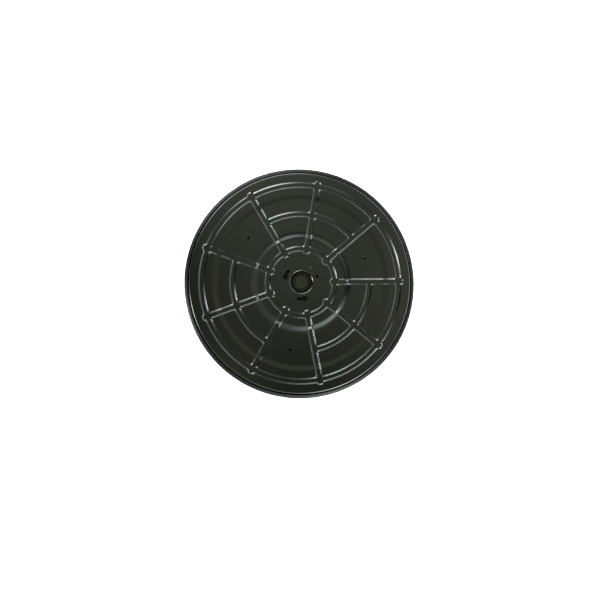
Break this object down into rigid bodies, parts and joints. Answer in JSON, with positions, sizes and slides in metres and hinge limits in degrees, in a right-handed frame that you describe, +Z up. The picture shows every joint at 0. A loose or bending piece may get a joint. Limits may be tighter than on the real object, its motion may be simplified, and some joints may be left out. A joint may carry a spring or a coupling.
{
  "type": "surface cleaner",
  "caption": "Round pressed-steel surface cleaner deck with spoke and ring grooves, a brush skirt, and a rotary spray bar turning on a sealed swivel underneath.",
  "frame": {"origin": "centre of the deck on the plane that the bristle tips rest on", "axes": "+Z up along the spin axis; +Y towards the deck edge between two spokes, ten degrees from the first spoke; the spray bar lies along X at rest"},
  "size_m": [0.512, 0.512, 0.1034],
  "materials": {
    "deck_paint": "gloss black enamel on pressed steel",
    "holder_paint": "satin black enamel on rolled steel strip",
    "bristle_nylon": "black nylon filament",
    "black_rivet": "black coated",
    "zinc_steel": "bright zinc plated",
    "housing_black": "black phosphated steel",
    "plug_plastic": "moulded, dull olive black",
    "seal_rubber": "nitrile rubber",
    "white_ptfe": "PTFE",
    "spring_steel": "oiled spring steel",
    "bearing_steel": "ground and polished",
    "cage_brass": "machined brass",
    "stainless": "drawn stainless",
    "hub_steel": "milled stainless",
    "nozzle_brass": "machined brass"
  },
  "bodies": {
    "deck": {"deck_shell": "deck_paint", "dust_seal": "seal_rubber", "flange_nuts": "zinc_steel", "flange_washers": "zinc_steel", "housing_circlip": "spring_steel", "inlet_plug": "plug_plastic", "lower_bearing_outer_race": "bearing_steel", "outer_spacer": "stainless", "pressure_seal": "seal_rubber", "seal_backup_ring": "white_ptfe", "skirt_backing": "zinc_steel", "skirt_bristles": "bristle_nylon", "skirt_core_wire": "zinc_steel", "skirt_holder": "holder_paint", "skirt_rivets": "black_rivet", "swivel_housing": "housing_black", "upper_bearing_outer_race": "bearing_steel", "weld_studs": "zinc_steel"},
    "rotor": {"rotor_shaft": "stainless", "shaft_circlip": "spring_steel", "splash_disc": "stainless", "rotor_hub": "hub_steel", "spray_arm_right": "stainless", "spray_arm_left": "stainless", "arm_lock_nuts": "zinc_steel", "nozzle_holders": "hub_steel", "spray_nozzles": "nozzle_brass", "upper_bearing_inner_race": "bearing_steel", "lower_bearing_inner_race": "bearing_steel", "inner_spacer": "stainless"},
    "upper_ball_set": {"upper_bearing_balls": "bearing_steel", "upper_bearing_cage": "cage_brass"},
    "lower_ball_set": {"lower_bearing_balls": "bearing_steel", "lower_bearing_cage": "cage_brass"}
  },
  "joints": [
    {"name": "rotor_spin", "type": "hinge", "parent": "deck", "child": "rotor", "pos_m": [0, 0, 0.06], "axis": [0, 0, 1], "continuous": true},
    {"name": "upper_ball_orbit", "type": "hinge", "parent": "deck", "child": "upper_ball_set", "pos_m": [0, 0, 0.0715], "axis": [0, 0, 1], "continuous": true},
    {"name": "lower_ball_orbit", "type": "hinge", "parent": "deck", "child": "lower_ball_set", "pos_m": [0, 0, 0.0585], "axis": [0, 0, 1], "continuous": true}
  ],
  "couplings": [
    {"joint": "upper_ball_orbit", "follows": "rotor_spin", "ratio": 0.4021},
    {"joint": "lower_ball_orbit", "follows": "rotor_spin", "ratio": 0.4021}
  ]
}
